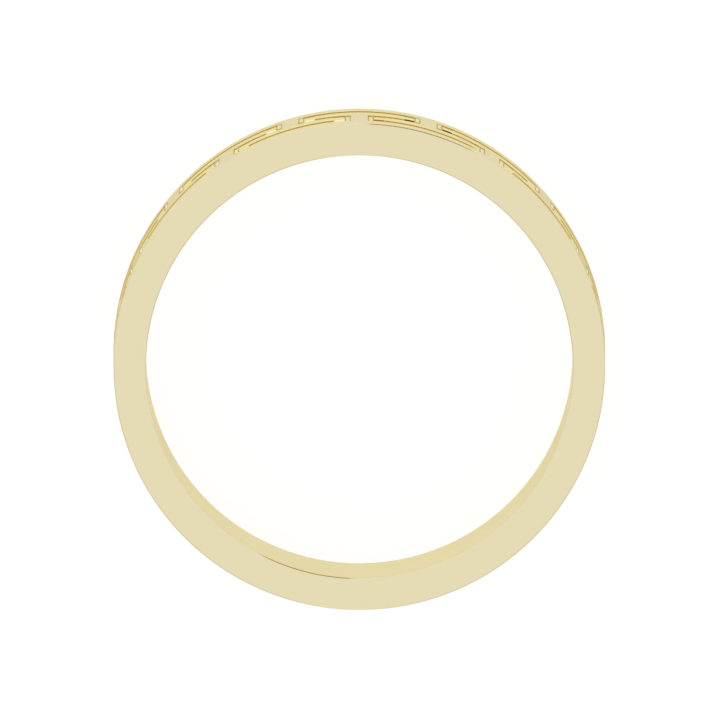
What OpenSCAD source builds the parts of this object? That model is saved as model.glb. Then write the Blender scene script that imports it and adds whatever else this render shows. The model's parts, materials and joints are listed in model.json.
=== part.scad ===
/* [Band] */
// Inside diameter, where the finger goes
finger_d = 17.35; // [14:0.05:22]
// Thickness of the wall
wall = 1.325; // [1.1:0.025:2]
// Width of the band, from side face to side face
band_w = 4.3; // [4:0.1:6]
// Radius of the eased edges
edge_r = 0.05; // [0.03:0.01:0.15]

/* [Greek key] */
// Number of repeats round the band, each with one upright and one hanging T
repeats = 11; // [9:1:13]
// Width of the engraved line where it runs round the band
line_w = 0.34; // [0.2:0.01:0.4]
// Depth of the engraved line where it runs round the band
line_depth = 0.1; // [0.03:0.01:0.3]
// Width of the short lines across the band
cross_w = 0.26; // [0.2:0.01:0.4]
// Depth of the short lines across the band
cross_depth = 0.015; // [0.01:0.005:0.3]
// Distance from the middle line to the line on each side of it, centre to centre
line_pitch = 1.18; // [0.9:0.01:1.5]
// Width of the stem of each T
stem_w = 0.68; // [0.5:0.01:0.9]

/* [Hidden] */
$fn = 180;

inner_r = finger_d / 2;
outer_r = inner_r + wall;
floor_r = outer_r - line_depth;
// The cutting shapes overshoot the metal by this much
overshoot = 0.4;

// Heights are measured from the middle of the band's width
bar_inner_h = line_w / 2;
bar_outer_h = line_pitch - line_w / 2;
belt_h = line_pitch + line_w / 2;

// Angles are in degrees round the outer surface
degrees_per_mm = 180 / (PI * outer_r);
t_pitch_a = 180 / repeats;
half_stem_a = stem_w / 2 * degrees_per_mm;
half_corner_a = half_stem_a + cross_w * degrees_per_mm;
half_bar_a = t_pitch_a - half_corner_a;
// The first upright T stands at the +Y side
first_t_a = 90;

// The band's section: a rectangle with four rounded corners, which lies on the X axis
module eased_section(w, h, r) {
    translate([r, 0]) square([w - 2 * r, h]);
    translate([0, r]) square([w, h - 2 * r]);
    for (x = [r, w - r], y = [r, h - r]) {
        translate([x, y]) circle(r);
    }
}

module plain_band() {
    rotate_extrude() {
        translate([inner_r, 0]) eased_section(wall, band_w, edge_r);
    }
}

// A block of a thick ring round the axis, between two radii and two heights, over an angle
module curved_block(r1, r2, low, high, angle = 360) {
    rotate(-angle / 2) {
        rotate_extrude(angle = angle) {
            translate([r1, low]) square([r2 - r1, high - low]);
        }
    }
}

// An upright T: its crossbar lies in the lower half and its stem runs up into the rim.
// Beside the stem, a lower block leaves the short lines and their outer corners shallower.
module key_t() {
    r1 = floor_r - overshoot;
    r2 = outer_r + 2 * overshoot;
    top_h = belt_h + overshoot;
    curved_block(r1, r2, -bar_outer_h, -bar_inner_h, 2 * half_bar_a);
    curved_block(r1, r2, -line_pitch / 2, top_h, 2 * half_stem_a);
    curved_block(r1, outer_r - cross_depth, bar_inner_h, top_h, 2 * half_corner_a);
}

// The engraved line is what the interlocking T's leave of a belt round the band
module greek_key() {
    difference() {
        curved_block(floor_r, outer_r + overshoot, -belt_h, belt_h);
        for (i = [0 : repeats - 1]) {
            rotate(first_t_a + 2 * i * t_pitch_a) {
                key_t();
                rotate(t_pitch_a) mirror([0, 0, 1]) key_t();
            }
        }
    }
}

module band() {
    color("khaki") {
        difference() {
            plain_band();
            translate([0, 0, band_w / 2]) greek_key();
        }
    }
}

band();
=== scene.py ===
"""A flat gold finger ring with a Greek key line engraved round its outside, lying on its side in a white studio."""

import json
import math

import bpy
import numpy as np
from mathutils import Matrix, Vector


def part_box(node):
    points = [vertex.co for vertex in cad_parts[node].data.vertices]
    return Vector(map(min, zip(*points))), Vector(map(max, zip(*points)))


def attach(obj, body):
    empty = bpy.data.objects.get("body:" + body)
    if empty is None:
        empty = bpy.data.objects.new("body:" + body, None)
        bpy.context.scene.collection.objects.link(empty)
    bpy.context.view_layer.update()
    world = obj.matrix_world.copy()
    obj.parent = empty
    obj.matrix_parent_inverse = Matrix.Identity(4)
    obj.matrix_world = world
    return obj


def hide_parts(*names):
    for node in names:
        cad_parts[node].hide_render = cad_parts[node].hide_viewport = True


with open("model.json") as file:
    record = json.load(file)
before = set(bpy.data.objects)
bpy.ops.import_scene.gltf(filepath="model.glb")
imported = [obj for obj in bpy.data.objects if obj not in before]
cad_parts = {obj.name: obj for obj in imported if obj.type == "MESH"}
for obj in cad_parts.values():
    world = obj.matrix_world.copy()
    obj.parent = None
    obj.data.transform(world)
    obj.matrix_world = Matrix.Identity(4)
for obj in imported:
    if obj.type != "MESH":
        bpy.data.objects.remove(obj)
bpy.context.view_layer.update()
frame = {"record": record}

bl_info = {
    "name": "Greek Key Band",
    "version": (1, 0, 0),
    "blender": (4, 5, 0),
    "location": "3D View > Sidebar > Greek Key",
    "description": "Makes a flat gold band with an engraved Greek key, and its studio",
    "category": "Add Mesh",
}

MM = 0.001
TINY = 1e-9

# Spacing of the surface's lines: along the arc, across the width, and beside a rounded edge and an eased one
ARC_STEP = 0.25 * MM
WIDTH_STEP = 0.3 * MM
EDGE_SUPPORT = 0.02 * MM
EASE_SUPPORT = 0.03 * MM

# Numbers of lines: steps of a rounded edge, lines of a side face and of the finger's side
EDGE_STEPS = 8
FACE_LINES = 9
FINGER_LINES = 11

# Two levels that differ by more are joined by a wall
LEVEL_GAP = 0.01
# Edges that bend by more stay sharp
CREASE = math.radians(15)

# Sizes of the polishing marks, of the slow changes of polish, of the graver's grain and of the relief of both
MARK_WIDTH = 0.03 * MM
MARK_LENGTH = 3 * MM
CLOUD_SIZE = 2 * MM
GRAIN_SIZE = 0.04 * MM
RELIEF = 0.01 * MM
# How far each of the three changes the roughness
MARK_ROUGHNESS = 0.02
CLOUD_ROUGHNESS = 0.03
GRAIN_ROUGHNESS = 0.1
# Brightness of the darker spots of the graver's grain, and where on the noise they begin and end
GRAIN_SHADE = 0.85
GRAIN_FROM, GRAIN_TO = 0.35, 0.65

# The finish of the round faces begins this far from them, and is full at the second distance
SKIN_FROM = 0.001 * MM
SKIN_TO = 0.0003 * MM
# Share of the painted side shade on the finger's side, of what it is outside
FINGER_SIDE = 0.5

# Soft borders of the studio's panels and of its dim wall, and where the flag's foot turns into its top
PANEL_BORDER = math.radians(1)
WALL_BORDER = math.radians(12)
FOOT_HIGH = math.radians(15)
TOP_LOW = math.radians(25)
# Light of the backdrop that the camera sees past the table, and half the table's side in metres
BACKDROP = 1.2
HALF_TABLE = 2.0

# Sizes that the frame already holds
BAND_LOW, BAND_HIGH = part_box("band")
FINGER_HOLE = next(m for m in frame["record"]["mounts"] if m["name"] == "finger_hole")
GOLD = next(m for m in frame["record"]["materials"] if m["slot"] == "gold")


def length(name, about, default_mm, low_mm=0.0, high_mm=50.0):
    """A length in the sidebar: its name, what it is, its default and its range in millimetres."""
    return bpy.props.FloatProperty(
        name=name,
        description=about,
        default=default_mm * MM,
        min=low_mm * MM,
        max=high_mm * MM,
        precision=5,
        unit="LENGTH",
        subtype="DISTANCE",
    )


def share(name, about, default, low=0.0, high=1.0):
    """A plain number in the sidebar."""
    return bpy.props.FloatProperty(name=name, description=about, default=default, min=low, max=high, precision=3)


def angle(name, about, default_degrees):
    """An angle in the sidebar, whose default is given in degrees."""
    return bpy.props.FloatProperty(
        name=name, description=about, default=math.radians(default_degrees), unit="ROTATION", subtype="ANGLE"
    )


def colour(name, about, default):
    """A colour in the sidebar, as linear red, green and blue."""
    return bpy.props.FloatVectorProperty(
        name=name, description=about, default=default, size=3, min=0.0, max=4.0, subtype="COLOR"
    )


class BandSizes(bpy.types.PropertyGroup):
    """Sizes of the band and of the line engraved round it."""

    outer_radius: length("Outer radius", "From the axis to the outside", BAND_HIGH.x / MM)
    inner_radius: length("Inner radius", "From the axis to the finger's side", FINGER_HOLE["dims"]["r_mm"])
    width: length("Width", "From side face to side face", (BAND_HIGH.z - BAND_LOW.z) / MM)
    edge_radius: length("Edge radius", "Rounding of the four long edges", 0.05)
    repeats: bpy.props.IntProperty(
        name="Repeats", description="Pairs of one upright and one hanging T", default=11, min=9, max=13
    )
    line_width: length("Line width", "Width of the engraved line where it runs round the band", 0.34)
    line_depth: length("Line depth", "Depth of the engraved line where it runs round the band", 0.1)
    cross_width: length("Cross line width", "Width of the short lines across the band", 0.26)
    cross_depth: length("Cross line depth", "Depth of the short lines across the band", 0.015)
    line_pitch: length("Line pitch", "From the middle line to the line on each side of it", 1.18)
    stem_width: length("Stem width", "Width of the stem of each T", 0.68)
    wall_lean: length("Wall lean", "How far the walls that run round lean over their depth", 0.002)
    cross_lean: length("Cross wall lean", "How far the walls across the band lean over their depth", 0.06)
    ease_length: length("Eased length", "Length of the eased edge at each end of a crossbar", 0.42)
    ease_size: length("Eased size", "Width and depth of that eased edge", 0.075)
    warm_reach: length("Warm reach", "From a line that runs round to where its warm tone begins to fade", 0.3)
    finger_warmth: share("Finger warmth", "How warm the tone of the finger's side is", 0.43)


class GoldFinish(bpy.types.PropertyGroup):
    """Colours and polish of the gold."""

    gold: colour("Gold", "Colour of the polished metal", GOLD["base_color"])
    # Line gold is painted shade: the line's bottom takes a deeper gold in place of the shade in the groove
    line: colour("Line gold", "Colour in the bottom of the line", (0.66, 0.53, 0.15))
    # Wall gold is painted shade: the line's walls take this deep brown gold in place of the shade in the groove
    wall: colour("Wall gold", "Colour of the line's matt walls", (0.62, 0.455, 0.09))
    grazing: colour("Grazing tint", "Tint of the metal seen edge-on", (0.875, 0.85, 0.675))
    warm_grazing: colour("Warm grazing tint", "The same close to the lines that run round", (0.975, 0.887, 0.555))
    # Side grazing tint is painted shade: the round faces' edge-on tint turns deeper towards the sides, away from the
    # Y axis
    side_shade_tint: colour("Side grazing tint", "The same on the round faces far from the Y axis", (0.66, 0.50, 0.0))
    side_share: share("Side share", "How fast that tint grows away from the Y axis", 0.4)
    side_limit: share("Side limit", "The most that it grows to", 0.62)
    line_grazing: colour("Line grazing tint", "Tint of the line's bottom seen edge-on", (1.0, 1.0, 0.82))
    roughness: share("Roughness", "Roughness of the polished side faces and edges", 0.06)
    round_roughness: share("Round roughness", "Roughness of the faces that run round, inside and outside", 0.26)
    line_roughness: share("Line roughness", "Roughness in the bottom of the line", 0.1)
    # Side and end lightness lessen that painted shade on the walls round a short line
    side_light: share("Side lightness", "How far the walls along a short line are lighter", 0.1)
    end_light: share("End lightness", "How far the walls at the ends of a short line are lighter", 0.8)
    hairline: share("Hairlines", "Strength of the fine polishing marks", 0.02)


class StudioSetup(bpy.types.PropertyGroup):
    """Camera, floor and light."""

    tilt: angle("Camera tilt", "Angle between the ring's axis and the camera", 8.1)
    distance: length("Camera distance", "From the ring to the camera", 600.0, 100.0, 2000.0)
    frame_width: length("Frame width", "Width of the picture at the ring", 29.277, 10.0, 200.0)
    aim_x: length("Aim across", "How far the picture's middle lies to the right of the ring's", 0.028, -5, 5)
    aim_y: length("Aim up", "How far the picture's middle lies above the ring's", -0.028, -5, 5)
    softness: share("Softness", "Width of the picture's pixel filter in pixels", 1.6, 0.5, 5.0)
    sky: share("Sky", "Brightness of the white studio", 1.0, 0.0, 4.0)
    shade: colour("Shade", "Light of the dimmer wall behind the camera", (0.70, 0.72, 0.78))
    shade_from: angle("Shade from", "Where that wall begins, from +Y to both sides", 95.0)
    shade_to: angle("Shade to", "Where it fades again, from +Y to both sides", 172.0)
    shade_high: angle("Shade high edge", "Upper edge of that wall above the horizon", 60.0)
    floor_glow: share("Floor glow", "Light that the table gives of its own", 0.86, 0.0, 4.0)
    floor_white: share("Floor white", "Share of the light that the table returns", 0.22)
    flag_from: angle("Flag from", "Left edge of the brown flag, from +Y towards +X", 3.0)
    flag_to: angle("Flag to", "Right edge of the brown flag, from +Y towards +X", 31.5)
    flag_low: angle("Flag low edge", "Lower edge of the brown flag above the horizon", -6.0)
    flag_high: angle("Flag high edge", "Upper edge of the brown flag above the horizon", 76.0)
    flag_foot: colour("Flag foot", "Light that the brown flag gives near the horizon", (0.10, 0.02, 0.0))
    patch: colour("Patch", "Light of a lighter patch in the flag's foot", (0.40, 0.20, 0.0))
    patch_from: angle("Patch from", "Left edge of that patch, from +Y towards +X", 4.2)
    patch_to: angle("Patch to", "Right edge of that patch, from +Y towards +X", 7.5)
    flag_top: colour("Flag top", "Light that it gives higher up", (0.46, 0.27, 0.0))
    lamp_from: angle("Lamp from", "Left edge of the brighter panel, from +Y towards +X", -31.0)
    lamp_to: angle("Lamp to", "Right edge of the brighter panel, from +Y towards +X", 1.0)
    lamp_low: angle("Lamp low edge", "Lower edge of the brighter panel above the horizon", 2.0)
    lamp_high: angle("Lamp high edge", "Upper edge of the brighter panel above the horizon", 14.0)
    lamp_power: share("Lamp power", "Brightness of the panel", 1.25, 0.0, 10.0)


class Value:
    """A socket of a node tree, on which sums are written as on a number."""

    def __init__(self, tree, socket):
        self.tree = tree
        self.socket = socket

    def node(self, kind, settings=None, sockets=None, output=0):
        """Adds a node: its type, its settings, and the values or links of its sockets. Gives one output."""
        return add_node(self.tree, kind, settings, sockets, output)

    def math(self, operation, *others):
        """Adds a Math node that works on this value and the others."""
        terms = dict(enumerate((self, *others)))
        return self.node("ShaderNodeMath", {"operation": operation}, terms)

    def __add__(self, other):
        return self.math("ADD", other)

    def __sub__(self, other):
        return self.math("SUBTRACT", other)

    def __rsub__(self, other):
        return self.node("ShaderNodeMath", {"operation": "SUBTRACT"}, {0: other, 1: self})

    def __mul__(self, other):
        return self.math("MULTIPLY", other)

    def __truediv__(self, other):
        return self.math("DIVIDE", other)

    def __pow__(self, other):
        return self.math("POWER", other)

    __radd__ = __add__
    __rmul__ = __mul__

    def ramp(self, start, end):
        """Rises smoothly from 0 at start to 1 at end."""
        settings = {"interpolation_type": "SMOOTHSTEP"}
        limits = {"Value": self, "From Min": start, "From Max": end}
        return self.node("ShaderNodeMapRange", settings, limits)

    def between(self, low, high, soft):
        """1 between low and high and 0 outside, with soft borders."""
        return self.ramp(low - soft, low + soft) * (1 - self.ramp(high - soft, high + soft))


def add_node(tree, kind, settings=None, sockets=None, output=0):
    """Adds one node to a tree. Settings are set first, then each socket takes its value or link."""
    made = tree.nodes.new(kind)
    for name, setting in (settings or {}).items():
        setattr(made, name, setting)
    for name, value in (sockets or {}).items():
        if isinstance(value, Value):
            tree.links.new(value.socket, made.inputs[name])
        else:
            made.inputs[name].default_value = value
    return Value(tree, made.outputs[output]) if len(made.outputs) else made


def mix_colours(tree, factor, first, second):
    """A colour between two others, each with its own alpha of 1."""
    sockets = {0: factor, 6: opaque(first), 7: opaque(second)}
    return add_node(tree, "ShaderNodeMix", {"data_type": "RGBA"}, sockets, 2)


def opaque(rgb):
    """A colour with an alpha of 1. A link is passed on as it is."""
    return rgb if isinstance(rgb, Value) else (*rgb, 1.0)


def new_tree(owner):
    """Empties the node tree of a material or world and gives it back."""
    owner.use_nodes = True
    owner.node_tree.nodes.clear()
    return owner.node_tree


def fill_gaps(lines, step):
    """Sorted lines with evenly spaced ones added wherever two lie further apart than step."""
    lines = np.unique(np.round(lines, 12))
    counts = np.maximum(1, np.ceil(np.diff(lines) / step)).astype(int)
    parts = [np.linspace(a, b, n, endpoint=False) for a, b, n in zip(lines[:-1], lines[1:], counts)]
    return np.append(np.concatenate(parts), lines[-1])


class KeyPattern:
    """The Greek key, measured on the outside of the band: along the arc and from the middle of its width."""

    def __init__(self, sizes):
        self.depth = sizes.line_depth
        self.cross_depth = sizes.cross_depth
        self.lean = sizes.wall_lean
        self.cross_lean = sizes.cross_lean
        self.ease_length = sizes.ease_length
        self.ease_size = sizes.ease_size
        self.warm_reach = sizes.warm_reach
        self.arc = 2 * math.pi * sizes.outer_radius
        self.pitch = self.arc / (2 * sizes.repeats)
        self.stem = sizes.stem_width / 2
        self.corner = self.stem + sizes.cross_width
        self.bar = self.pitch - self.corner
        self.line_pitch = sizes.line_pitch
        self.bar_inner = sizes.line_width / 2
        self.bar_outer = sizes.line_pitch - sizes.line_width / 2
        self.belt = sizes.line_pitch + sizes.line_width / 2
        self.bar_middle = -(self.bar_inner + self.bar_outer) / 2
        self.bar_half = (self.bar_outer - self.bar_inner) / 2

    def from_stem(self, arc):
        """Distance along the arc from the middle of the nearest upright T, from 0 to the pitch: a triangle wave."""
        return np.abs((arc + self.pitch) % (2 * self.pitch) - self.pitch)

    def outside(self, along, up):
        """0 inside a rectangle and 1 outside it, rising over its leaning walls. The two distances are those past
        its sides along the arc and up the width, and the larger share counts."""
        return np.maximum(np.clip(along / self.cross_lean, 0, 1), np.clip(up / self.lean, 0, 1))

    def outside_t(self, along, height):
        """0 on one upright T and 1 outside it: the lesser of its crossbar's and its stem's shares."""
        bar = self.outside(along - self.bar, np.abs(height - self.bar_middle) - self.bar_half)
        return np.minimum(bar, self.outside(along - self.stem, self.bar_middle - height))

    def cut(self, arc, height):
        """0 on the raised metal and 1 outside it: the least share of the rims, the upright and the hanging T."""
        along = self.from_stem(arc)
        rims = np.clip((self.belt - np.abs(height)) / self.lean, 0, 1)
        upright = self.outside_t(along, height)
        hanging = self.outside_t(self.pitch - along, -height)
        return np.minimum(rims, np.minimum(upright, hanging))

    def in_round_line(self, height):
        """1 at the heights of the three lines that run round, and 0 between them, where only short lines cross."""
        height = np.abs(height)
        return np.clip(np.maximum(self.bar_inner - height, height - self.bar_outer) / self.lean, 0, 1)

    def in_corner(self, along, height):
        """1 beside an upright T's stem, where a short line runs up from the middle line, and 0 past the leaning wall
        at its far side."""
        return np.clip((self.corner - along) / self.cross_lean, 0, 1) * (height > self.bar_inner)

    def round_short_line(self, arc, height):
        """1 on a short line, its two ends and its walls, and 0 elsewhere."""
        along = self.from_stem(arc)
        upright = (along < self.corner + TINY) & (height > -self.bar_inner - TINY)
        return upright | ((self.pitch - along < self.corner + TINY) & (height < self.bar_inner + TINY))

    def warmth(self, arc, height):
        """1 from a line that runs round to the warm reach, falling to 0 at twice that, and summed up to 1. The upper
        line stops at the upright stems, the lower one at the hanging stems, and the middle one at both."""
        along = self.from_stem(arc)
        past_upright = along > self.corner - TINY
        past_hanging = self.pitch - along > self.corner - TINY
        warm = 0
        for line, runs in (
            (self.line_pitch, past_upright),
            (0, past_upright & past_hanging),
            (-self.line_pitch, past_hanging),
        ):
            away = np.abs(height - line) - self.bar_inner
            warm = warm + runs * np.clip(2 - away / self.warm_reach, 0, 1)
        return np.minimum(warm, 1)

    def eased(self, along, height):
        """Depth of the slope that eases the two long edges of an upright T's crossbar near its ends: the eased
        size at the edge, less the distance from it."""
        from_edge = self.bar_half - np.abs(height - self.bar_middle)
        near_end = (along > self.bar - self.ease_length - TINY) & (along < self.bar + TINY)
        return np.clip(self.ease_size - from_edge, 0, self.ease_size) * near_end * (from_edge > -TINY)

    def depth_at(self, arc, height):
        """Depth below the outside: where the metal is cut, that of the lines that run round, or that of the short
        lines and of the corners at their outer ends; beside it, that of the eased edges."""
        along = self.from_stem(arc)
        corner = np.maximum(self.in_corner(along, height), self.in_corner(self.pitch - along, -height))
        deep = self.in_round_line(height) * (1 - corner)
        bottom = self.cross_depth + (self.depth - self.cross_depth) * deep
        eased = np.maximum(self.eased(along, height), self.eased(self.pitch - along, -height))
        return np.maximum(self.cut(arc, height) * bottom, eased)

    def arc_lines(self, step):
        """Places along the whole arc at which the surface bends, with more between them."""
        ease = self.bar - self.ease_length
        ends = np.array([self.stem, self.bar])
        bends = np.concatenate([ends, ends + self.cross_lean, [ease, ease - EASE_SUPPORT]])
        half = fill_gaps(np.concatenate([[0, self.pitch], bends, self.pitch - bends]), step)
        pair = np.concatenate([half, 2 * self.pitch - half[-2:0:-1]])
        repeats = round(self.arc / (2 * self.pitch))
        starts = np.arange(repeats)[:, None] * 2 * self.pitch
        return (starts + pair).ravel()

    def height_lines(self, top, step):
        """Places across the width, up to the rounded edges, at which the surface bends."""
        edges = np.array([
            self.bar_inner,
            self.bar_inner - self.lean,
            self.bar_inner + self.ease_size,
            self.bar_outer,
            self.bar_outer + self.lean,
            self.bar_outer - self.ease_size,
            self.belt,
            self.belt - self.lean,
        ])
        half = fill_gaps(np.concatenate([[0.0, top], edges]), step)
        return np.concatenate([-half[:0:-1], half])


def rounded_corner(radius, steps):
    """A quarter circle from (1, 0) to (0, 1) times the radius, without its two ends."""
    turn = np.linspace(0, math.pi / 2, steps + 1)[1:-1]
    return radius * np.cos(turn), radius * np.sin(turn)


def band_surface(sizes):
    """The band as one closed skin: a rectangle with rounded corners, carried round the axis. Along the arc and
    across the width of its outside, the radius is the outer radius less the key pattern's depth.

    Gives the points as a grid, arc by profile. At each it tells the level, which is 0 on the metal, 1 in the short
    lines and 2 in those that run round, whether it belongs to a short line, and how warm its tone is."""
    key = KeyPattern(sizes)
    half = sizes.width / 2
    round_off = sizes.edge_radius
    flat_top = half - round_off
    support = flat_top - EDGE_SUPPORT
    arcs = key.arc_lines(ARC_STEP)
    heights = key.height_lines(flat_top, WIDTH_STEP)
    heights = np.sort(np.append(heights, [support, -support]))
    reach, rise = rounded_corner(round_off, EDGE_STEPS)
    outer_flat = sizes.outer_radius - round_off
    inner_flat = sizes.inner_radius + round_off
    face = np.linspace(outer_flat, inner_flat, FACE_LINES)
    face = np.sort(np.append(face, [outer_flat - EDGE_SUPPORT, inner_flat + EDGE_SUPPORT]))[::-1]
    inner = np.linspace(support, -support, FINGER_LINES)

    # The profile, from the outside's low edge, over the top face, down the finger's side and back
    radius = np.concatenate([
        np.full(heights.size, sizes.outer_radius),
        outer_flat + reach,
        face,
        inner_flat - rise,
        np.full(inner.size + 2, sizes.inner_radius),
        inner_flat - rise[::-1],
        face[::-1],
        outer_flat + reach[::-1],
    ])
    height = np.concatenate([
        heights,
        flat_top + rise,
        np.full(face.size, half),
        flat_top + reach,
        [flat_top],
        inner,
        [-flat_top],
        -flat_top - reach[::-1],
        np.full(face.size, -half),
        -flat_top - rise[::-1],
    ])
    depth, level, short, warm = np.zeros((4, arcs.size, radius.size))
    depth[:, : heights.size] = key.depth_at(arcs[:, None], heights[None, :])
    level[:, : heights.size] = key.cut(arcs[:, None], heights[None, :]) * (1 + key.in_round_line(heights[None, :]))
    short[:, : heights.size] = key.round_short_line(arcs[:, None], heights[None, :])
    warm[:, : heights.size] = key.warmth(arcs[:, None], heights[None, :])
    warm[:, radius < sizes.inner_radius + round_off / 5] = sizes.finger_warmth
    around = arcs[:, None] / sizes.outer_radius
    reach_out = radius[None, :] - depth
    points = np.stack([
        reach_out * np.sin(around),
        reach_out * np.cos(around),
        np.broadcast_to(height + half, depth.shape),
    ], axis=-1)
    return points, level, short, warm


def closed_grid_faces(rows, columns):
    """Four corners for each face of a grid whose rows and columns both close on themselves."""
    row = np.arange(rows)[:, None]
    column = np.arange(columns)[None, :]
    next_row = (row + 1) % rows
    next_column = (column + 1) % columns
    corners = [
        row * columns + column,
        row * columns + next_column,
        next_row * columns + next_column,
        next_row * columns + column,
    ]
    return np.stack([np.broadcast_to(c, (rows, columns)) for c in corners], axis=-1).reshape(-1, 4)


def line_faces(level, short, faces, side_light, end_light):
    """Tells for each face whether it is a wall of the line, how much painted shade the wall takes, and whether it is
    the line's bottom. Walls lead from one level to another. Those that rise to the metal round a short line take less
    painted shade."""
    corners = level.ravel()[faces]
    wall = np.ptp(corners, axis=1) > LEVEL_GAP
    lighter = (corners.min(axis=1) < LEVEL_GAP) & (short.ravel()[faces].min(axis=1) > 0.5)
    at_end = np.abs(corners[:, 0] - corners[:, 1]) > LEVEL_GAP
    # Painted shade: how much of the wall gold each wall takes
    painted_wall_shade = wall * (1 - lighter * np.where(at_end, end_light, side_light))
    return wall, painted_wall_shade, ~wall & (corners[:, 0] > 0.5)


def mesh_from_grid(name, points):
    """A closed mesh from a grid of points, smooth but for edges that bend by more than the crease angle."""
    rows, columns, _ = points.shape
    faces = closed_grid_faces(rows, columns)
    mesh = bpy.data.meshes.new(name)
    mesh.from_pydata(points.reshape(-1, 3), [], faces)
    mesh.polygons.foreach_set("use_smooth", np.ones(len(faces), bool))
    mesh.set_sharp_from_angle(angle=CREASE)
    mesh.update()
    if mesh.validate():
        raise RuntimeError(f"{name} has faces that could not be made")
    return mesh


def store(mesh, name, domain, values):
    """Keeps one number for each point, or for each corner of each face, for a mesh's material."""
    attribute = mesh.attributes.new(name, "FLOAT", domain)
    attribute.data.foreach_set("value", np.asarray(values, np.float32).ravel())


def polishing_marks(place, radius, y, x, z):
    """Marks of the polishing wheel: noise stretched along the turn and fine across it."""
    fine, slow = 1 / MARK_WIDTH, 1 / MARK_LENGTH
    marks_at = {0: radius * fine + y * slow, 1: z * fine, 2: x * slow}
    vector = place.node("ShaderNodeCombineXYZ", None, marks_at)
    return place.node("ShaderNodeTexNoise", None, {"Vector": vector, "Scale": 1.0, "Detail": 3.0}, "Fac")


def metal_shader(place, base, metallic, roughness, grazing, height, strength):
    """A metal with one colour seen face-on and a tint seen edge-on, and with a texture's height as fine relief."""
    bump = {"Strength": strength, "Distance": RELIEF, "Height": height}
    return place.node("ShaderNodeBsdfPrincipled", None, {
        "Base Color": base,
        "Metallic": metallic,
        "Roughness": roughness,
        "Specular IOR Level": 0.0,
        "Specular Tint": opaque(grazing),
        "Normal": place.node("ShaderNodeBump", None, bump, "Normal"),
    })


def gold_material(sizes, finish):
    """Gold with fine marks that run round: satin round the band, polished at its sides, matt on the line's walls,
    which take the wall gold as painted shade.

    Its tint seen edge-on is warmer near the lines that run round. On the round faces it deepens away from the Y axis
    as painted shade, with the radius over the distance from the XZ plane, less 1, and does so less towards the
    finger's side."""
    material = bpy.data.materials.new("polished_gold")
    tree = new_tree(material)
    place = add_node(tree, "ShaderNodeTexCoord", None, None, "Object")
    x, y, z = (place.node("ShaderNodeSeparateXYZ", None, {0: place}, axis) for axis in range(3))
    radius = (x * x + y * y) ** 0.5
    half_wall = (sizes.outer_radius - sizes.inner_radius) / 2
    outward = radius - (sizes.inner_radius + half_wall)
    round_face = outward.math("ABSOLUTE").ramp(half_wall - SKIN_FROM, half_wall - SKIN_TO)
    on_wall = place.node("ShaderNodeAttribute", {"attribute_name": "wall"}, None, "Fac")
    painted_wall_shade = place.node("ShaderNodeAttribute", {"attribute_name": "painted_wall_shade"}, None, "Fac")
    warm = place.node("ShaderNodeAttribute", {"attribute_name": "warm"}, None, "Fac")
    marks = polishing_marks(place, radius, y, x, z)
    clouds = place.node("ShaderNodeTexNoise", None, {"Vector": place, "Scale": 1 / CLOUD_SIZE}, "Fac")
    # Painted shade: the line's walls take the wall gold
    base = mix_colours(tree, painted_wall_shade, finish.gold, finish.wall)
    roughness = finish.roughness + round_face * (finish.round_roughness - finish.roughness)
    roughness = roughness + CLOUD_ROUGHNESS * (clouds - 0.5) + MARK_ROUGHNESS * (marks - 0.5)
    plain, warmer, side_shaded = (
        metal_shader(place, base, 1 - on_wall, roughness, tint, marks, finish.hairline)
        for tint in (finish.grazing, finish.warm_grazing, finish.side_shade_tint)
    )
    mixed = place.node("ShaderNodeMixShader", None, {0: warm, 1: plain, 2: warmer})
    # Painted shade on the round faces, growing away from the Y axis
    sideways = (finish.side_share * (radius / y.math("ABSOLUTE") - 1)).math("MINIMUM", finish.side_limit)
    side = round_face * sideways * ((1 + FINGER_SIDE) / 2 + (1 - FINGER_SIDE) / 2 * outward / half_wall)
    mixed = place.node("ShaderNodeMixShader", None, {0: side, 1: mixed, 2: side_shaded})
    add_node(tree, "ShaderNodeOutputMaterial", None, {"Surface": mixed})
    return material


def line_material(finish):
    """The line's bottom: gold made deeper as painted shade in the groove, with the fine grain that the graver leaves.
    """
    material = bpy.data.materials.new("engraved_gold")
    tree = new_tree(material)
    place = add_node(tree, "ShaderNodeTexCoord", None, None, "Object")
    grain_at = {"Vector": place, "Scale": 1 / GRAIN_SIZE, "Detail": 2.0}
    grain = place.node("ShaderNodeTexNoise", None, grain_at, "Fac")
    shade = [GRAIN_SHADE * part for part in finish.line]
    # Painted shade: the bottom takes the line gold, with the graver's grain on it
    base = mix_colours(tree, grain.ramp(GRAIN_FROM, GRAIN_TO), shade, finish.line)
    roughness = finish.line_roughness + GRAIN_ROUGHNESS * (grain - 0.5)
    metal = metal_shader(place, base, 1.0, roughness, finish.line_grazing, grain, finish.hairline)
    add_node(tree, "ShaderNodeOutputMaterial", None, {"Surface": metal})
    return material


class GREEKKEY_OT_band(bpy.types.Operator):
    """Make the gold band with its engraved Greek key"""

    bl_idname = "greekkey.band"
    bl_label = "Make Band"

    def execute(self, context):
        sizes = context.scene.band_sizes
        finish = context.scene.gold_finish
        points, level, short, warm = band_surface(sizes)
        mesh = mesh_from_grid("greek_key_band", points)
        faces = closed_grid_faces(*level.shape)
        wall, painted_wall_shade, bottom = line_faces(level, short, faces, finish.side_light, finish.end_light)
        store(mesh, "wall", "CORNER", np.repeat(wall, 4))
        store(mesh, "painted_wall_shade", "CORNER", np.repeat(painted_wall_shade, 4))
        store(mesh, "warm", "POINT", warm)
        mesh.materials.append(gold_material(sizes, finish))
        mesh.materials.append(line_material(finish))
        mesh.polygons.foreach_set("material_index", bottom.astype(np.int32))
        band = bpy.data.objects.new("greek_key_band", mesh)
        context.scene.collection.objects.link(band)
        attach(band, "root")
        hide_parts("band")
        return {"FINISHED"}


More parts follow.
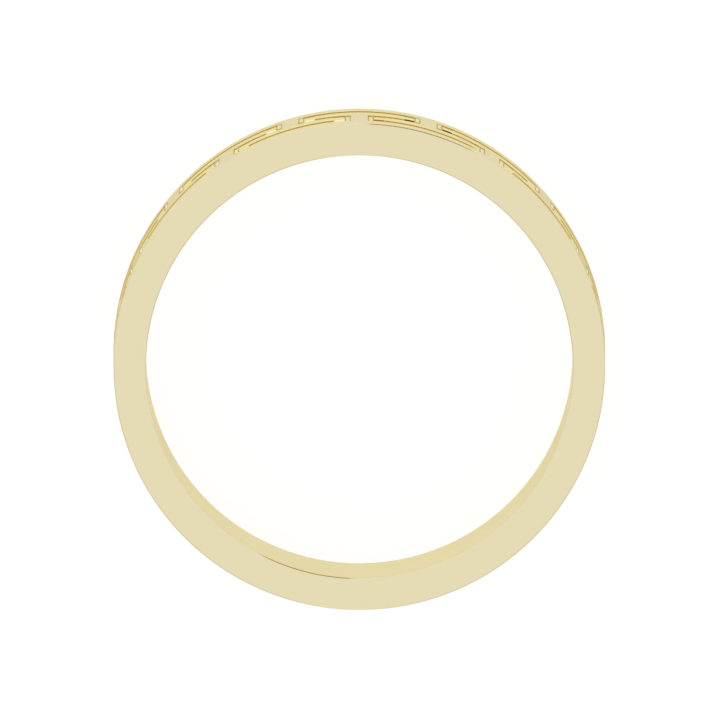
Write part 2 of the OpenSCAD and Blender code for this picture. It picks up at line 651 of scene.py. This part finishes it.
def studio_world(setup):
    """A white room with a dimmer wall behind the camera, a brown flag with a lighter patch, and a brighter panel. The
    camera itself sees only a white backdrop."""
    world = bpy.data.worlds.new("white_studio")
    tree = new_tree(world)
    way = add_node(tree, "ShaderNodeTexCoord", None, None, "Generated")
    x, y, z = (way.node("ShaderNodeSeparateXYZ", None, {0: way}, axis) for axis in range(3))
    bearing = x.math("ARCTAN2", y)
    rise = z.math("ARCSINE")
    flag = bearing.between(setup.flag_from, setup.flag_to, PANEL_BORDER)
    flag = flag * rise.between(setup.flag_low, setup.flag_high, PANEL_BORDER)
    lamp = bearing.between(setup.lamp_from, setup.lamp_to, PANEL_BORDER)
    lamp = lamp * rise.between(setup.lamp_low, setup.lamp_high, PANEL_BORDER)
    wall = bearing.math("ABSOLUTE").between(setup.shade_from, setup.shade_to, WALL_BORDER)
    wall = wall * rise.between(-WALL_BORDER, setup.shade_high, WALL_BORDER)
    patch = bearing.between(setup.patch_from, setup.patch_to, PANEL_BORDER / 2)
    seen = way.node("ShaderNodeLightPath", None, None, "Is Camera Ray")
    foot = mix_colours(tree, patch, setup.flag_foot, setup.patch)
    brown = mix_colours(tree, rise.ramp(FOOT_HIGH, TOP_LOW), foot, setup.flag_top)
    shown = mix_colours(tree, wall, (setup.sky,) * 3, setup.shade)
    shown = mix_colours(tree, flag, shown, brown)
    shown = mix_colours(tree, lamp, shown, (setup.lamp_power,) * 3)
    shown = mix_colours(tree, seen, shown, (BACKDROP,) * 3)
    light = add_node(tree, "ShaderNodeBackground", None, {"Color": shown, "Strength": 1.0})
    add_node(tree, "ShaderNodeOutputWorld", None, {"Surface": light})
    return world


def table_material(setup):
    """A matt white table that also glows a little, as a light table does."""
    material = bpy.data.materials.new("white_table")
    tree = new_tree(material)
    white = (setup.floor_white,) * 3
    table = add_node(tree, "ShaderNodeBsdfPrincipled", None, {
        "Base Color": opaque(white),
        "Roughness": 1.0,
        "Specular IOR Level": 0.0,
        "Emission Color": (1, 1, 1, 1),
        "Emission Strength": setup.floor_glow,
    })
    add_node(tree, "ShaderNodeOutputMaterial", None, {"Surface": table})
    return material


def place_camera(context, setup):
    """A camera far away at the tilt of the photograph, with parallel rays and +Y up in the picture."""
    back = Vector((0, math.sin(setup.tilt), math.cos(setup.tilt)))
    up = Vector((0, math.cos(setup.tilt), -math.sin(setup.tilt)))
    right = up.cross(back)
    middle = Vector((0, 0, (BAND_LOW.z + BAND_HIGH.z) / 2))
    aim = middle + right * setup.aim_x + up * setup.aim_y
    data = bpy.data.cameras.new("studio_camera")
    data.type = "ORTHO"
    data.ortho_scale = setup.frame_width
    data.clip_start = 0.1 * setup.distance
    data.clip_end = 10 * setup.distance
    camera = bpy.data.objects.new("studio_camera", data)
    context.scene.collection.objects.link(camera)
    turn = Matrix((right, up, back)).transposed()
    camera.matrix_world = Matrix.LocRotScale(aim + back * setup.distance, turn.to_quaternion(), None)
    context.scene.camera = camera


class GREEKKEY_OT_studio(bpy.types.Operator):
    """Make the white table, the soft light and the camera"""

    bl_idname = "greekkey.studio"
    bl_label = "Set Studio"

    def execute(self, context):
        setup = context.scene.studio_setup
        scene = context.scene
        corners = [(x * HALF_TABLE, y * HALF_TABLE, 0) for x, y in ((-1, -1), (1, -1), (1, 1), (-1, 1))]
        mesh = bpy.data.meshes.new("table")
        mesh.from_pydata(corners, [], [(0, 1, 2, 3)])
        mesh.materials.append(table_material(setup))
        table = bpy.data.objects.new("table", mesh)
        scene.collection.objects.link(table)
        scene.world = studio_world(setup)
        scene.view_settings.view_transform = "Standard"
        scene.cycles.max_bounces = 16
        scene.cycles.glossy_bounces = 14
        scene.cycles.filter_width = setup.softness
        place_camera(context, setup)
        return {"FINISHED"}


class GREEKKEY_PT_panel(bpy.types.Panel):
    """Lists the band's and the studio's sizes, and the buttons that make them"""

    bl_label = "Greek Key Band"
    bl_idname = "GREEKKEY_PT_panel"
    bl_space_type = "VIEW_3D"
    bl_region_type = "UI"
    bl_category = "Greek Key"

    def draw(self, context):
        for group, operator in (
            ("band_sizes", GREEKKEY_OT_band),
            ("gold_finish", None),
            ("studio_setup", GREEKKEY_OT_studio),
        ):
            settings = getattr(context.scene, group)
            box = self.layout.box()
            for name in settings.bl_rna.properties.keys():
                if name not in ("name", "rna_type"):
                    box.prop(settings, name)
            if operator:
                box.operator(operator.bl_idname)


CLASSES = (BandSizes, GoldFinish, StudioSetup, GREEKKEY_OT_band, GREEKKEY_OT_studio, GREEKKEY_PT_panel)


def register():
    for each in CLASSES:
        bpy.utils.register_class(each)
    bpy.types.Scene.band_sizes = bpy.props.PointerProperty(type=BandSizes)
    bpy.types.Scene.gold_finish = bpy.props.PointerProperty(type=GoldFinish)
    bpy.types.Scene.studio_setup = bpy.props.PointerProperty(type=StudioSetup)


def unregister():
    del bpy.types.Scene.studio_setup
    del bpy.types.Scene.gold_finish
    del bpy.types.Scene.band_sizes
    for each in reversed(CLASSES):
        bpy.utils.unregister_class(each)


def main():
    """Makes the band and its studio."""
    register()
    bpy.ops.greekkey.studio()
    bpy.ops.greekkey.band()


if __name__ == "__main__":
    main()
